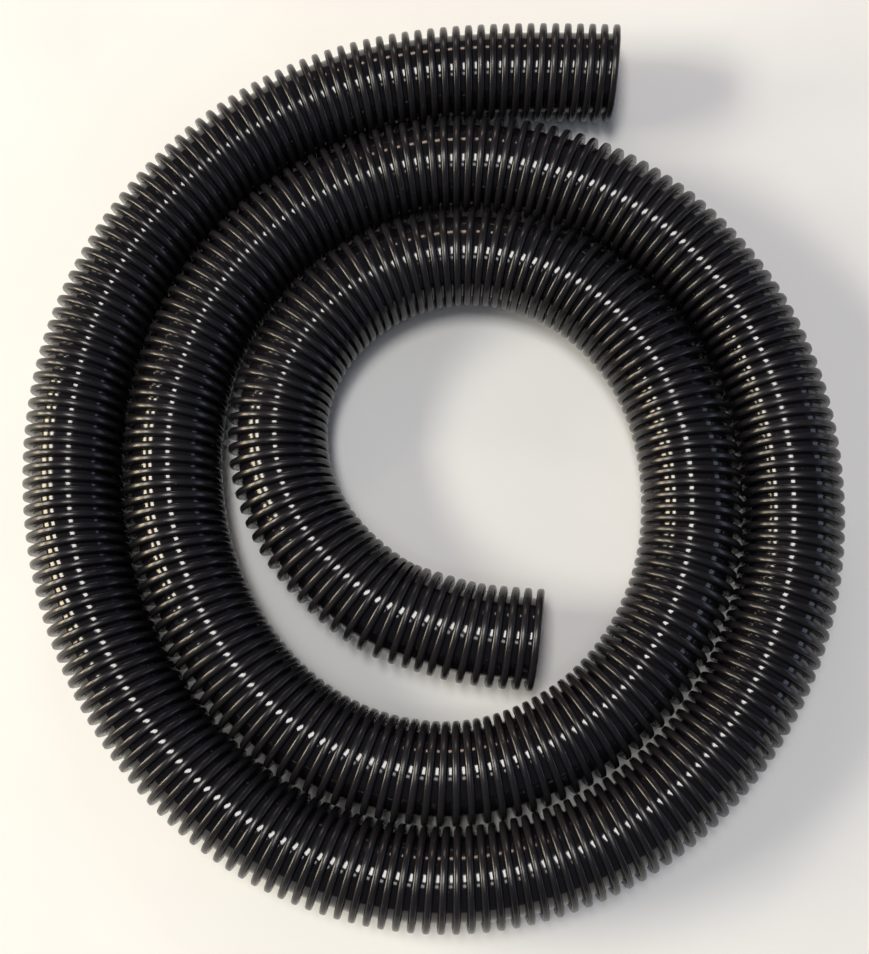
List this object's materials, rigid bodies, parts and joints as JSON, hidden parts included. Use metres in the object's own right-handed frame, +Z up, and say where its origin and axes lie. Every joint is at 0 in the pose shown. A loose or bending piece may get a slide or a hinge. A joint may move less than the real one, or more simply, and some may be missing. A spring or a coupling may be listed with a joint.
{
  "type": "ribbed vacuum hose",
  "caption": "Black spiral-ribbed vacuum hose with a smooth bore, cut square at both ends and laid in a flat coil.",
  "frame": {"origin": "on the floor, at the middle of the coil's bounding box", "axes": "+Z is up, +Y runs along the longer side of the flat coil towards the side with the outer end, and +X is the way the outer end points"},
  "size_m": [0.3972, 0.4476, 0.0486],
  "materials": {
    "hose_wall": "glossy black flexible plastic wall, seen as the floors of the grooves and inside the bore",
    "hose_ribs": "satin to glossy black flexible plastic bead with fine extrusion lines"
  },
  "bodies": {
    "coil": {"outer_flex_wall": "hose_wall", "outer_flex_ribs": "hose_ribs", "coil_wall_01": "hose_wall", "coil_wall_02": "hose_wall", "coil_wall_03": "hose_wall", "coil_wall_04": "hose_wall", "coil_wall_05": "hose_wall", "coil_wall_06": "hose_wall", "coil_wall_07": "hose_wall", "coil_wall_08": "hose_wall", "coil_wall_09": "hose_wall", "coil_wall_10": "hose_wall", "coil_wall_11": "hose_wall", "coil_wall_12": "hose_wall", "coil_ribs_01": "hose_ribs", "coil_ribs_02": "hose_ribs", "coil_ribs_03": "hose_ribs", "coil_ribs_04": "hose_ribs", "coil_ribs_05": "hose_ribs", "coil_ribs_06": "hose_ribs", "coil_ribs_07": "hose_ribs", "coil_ribs_08": "hose_ribs", "coil_ribs_09": "hose_ribs", "coil_ribs_10": "hose_ribs", "coil_ribs_11": "hose_ribs", "coil_ribs_12": "hose_ribs", "inner_flex_wall": "hose_wall", "inner_flex_ribs": "hose_ribs"},
    "outer_end": {"outer_tail_wall": "hose_wall", "outer_tail_ribs": "hose_ribs"},
    "inner_end": {"inner_tail_wall": "hose_wall", "inner_tail_ribs": "hose_ribs"}
  },
  "joints": [
    {"name": "outer_end_swing", "type": "hinge", "parent": "coil", "child": "outer_end", "pos_m": [-0.1611, 0.0505, 0.0243], "axis": [0, 0, 1], "range_deg": [0, 35], "deforming": ["outer_flex_wall", "outer_flex_ribs"]},
    {"name": "inner_end_lift", "type": "hinge", "parent": "coil", "child": "inner_end", "pos_m": [-0.059, -0.0086, 0.0243], "axis": [-1, 0, 0], "range_deg": [0, 30], "deforming": ["inner_flex_wall", "inner_flex_ribs"]}
  ]
}
